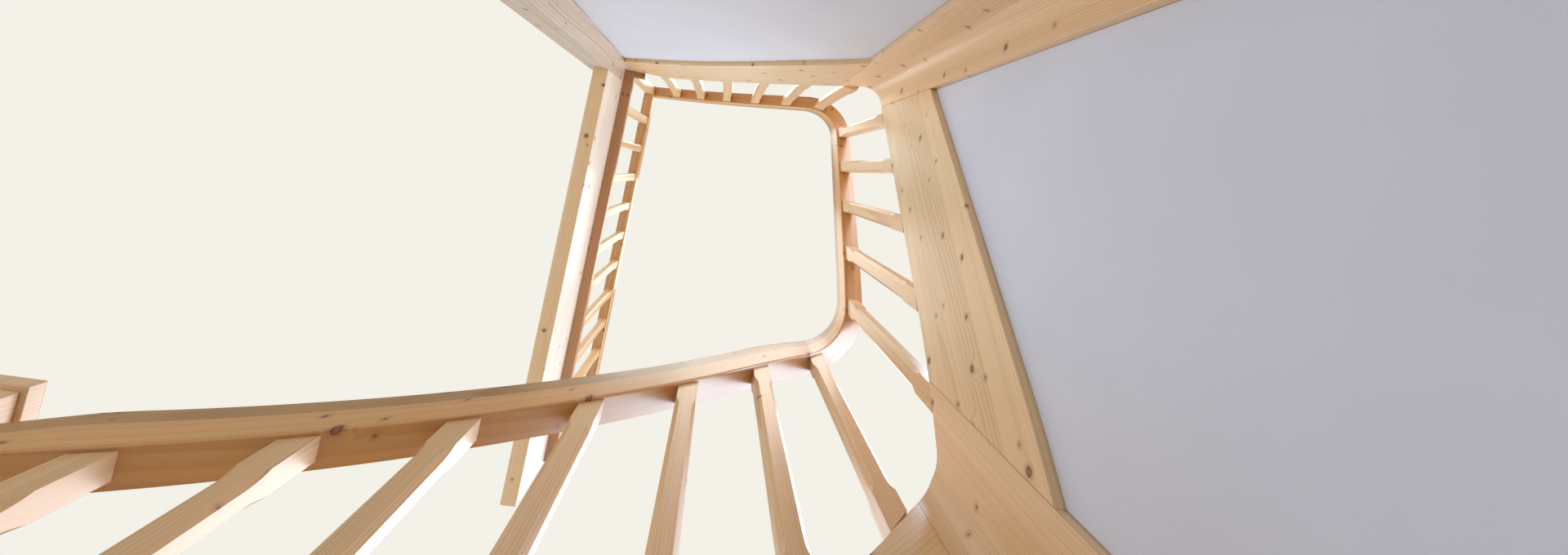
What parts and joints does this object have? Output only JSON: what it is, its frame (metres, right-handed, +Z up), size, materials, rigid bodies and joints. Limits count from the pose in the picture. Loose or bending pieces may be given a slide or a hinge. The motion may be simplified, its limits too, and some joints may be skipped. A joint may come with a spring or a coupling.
{
  "type": "half-turn winder staircase",
  "caption": "Half-turn wooden winder staircase climbing clockwise round an open rectangular well, with closed strings, rounded corner posts, a wreathed handrail and a gallery railing.",
  "frame": {"origin": "lower floor, under the middle of the stair's overall plan", "axes": "+Z up; +X is the way the first flight climbs, towards the outer side of the second flight; +Y is from the well towards the first flight"},
  "size_m": [2.303, 2.693, 3.7973],
  "materials": {
    "strings": "satin",
    "posts": "satin",
    "pale_boards": "satin",
    "tread_boards": "satin",
    "riser_boards": "satin",
    "handrail": "satin",
    "balusters": "satin",
    "capping": "satin",
    "plaster": "matte"
  },
  "bodies": {
    "root": {"string_lower": "strings", "string_middle": "strings", "string_upper": "strings", "corner_post_lower": "posts", "corner_post_upper": "posts", "landing_post": "pale_boards", "start_newel": "posts", "newel_cap": "posts", "wall_string_lower": "strings", "wall_string_middle": "strings", "wall_string_upper": "strings", "tread_01": "tread_boards", "tread_02": "tread_boards", "tread_03": "tread_boards", "tread_04": "tread_boards", "tread_05": "tread_boards", "tread_06": "tread_boards", "tread_07": "tread_boards", "tread_08": "tread_boards", "tread_09": "tread_boards", "tread_10": "tread_boards", "tread_11": "tread_boards", "tread_12": "tread_boards", "tread_13": "tread_boards", "tread_14": "tread_boards", "tread_15": "tread_boards", "risers": "riser_boards", "panel_lower": "plaster", "panel_middle": "plaster", "panel_upper": "plaster", "handrail_lower": "handrail", "handrail_wreath_lower": "handrail", "handrail_middle": "handrail", "handrail_wreath_upper": "handrail", "handrail_upper": "handrail", "handrail_gallery": "handrail", "balusters_lower": "balusters", "balusters_middle": "balusters", "balusters_upper": "balusters", "balusters_gallery": "balusters", "gallery_newel": "posts", "gallery_fascia": "pale_boards", "gallery_capping": "capping", "landing_trimmer": "tread_boards", "landing_nosing": "tread_boards"}
  },
  "joints": []
}
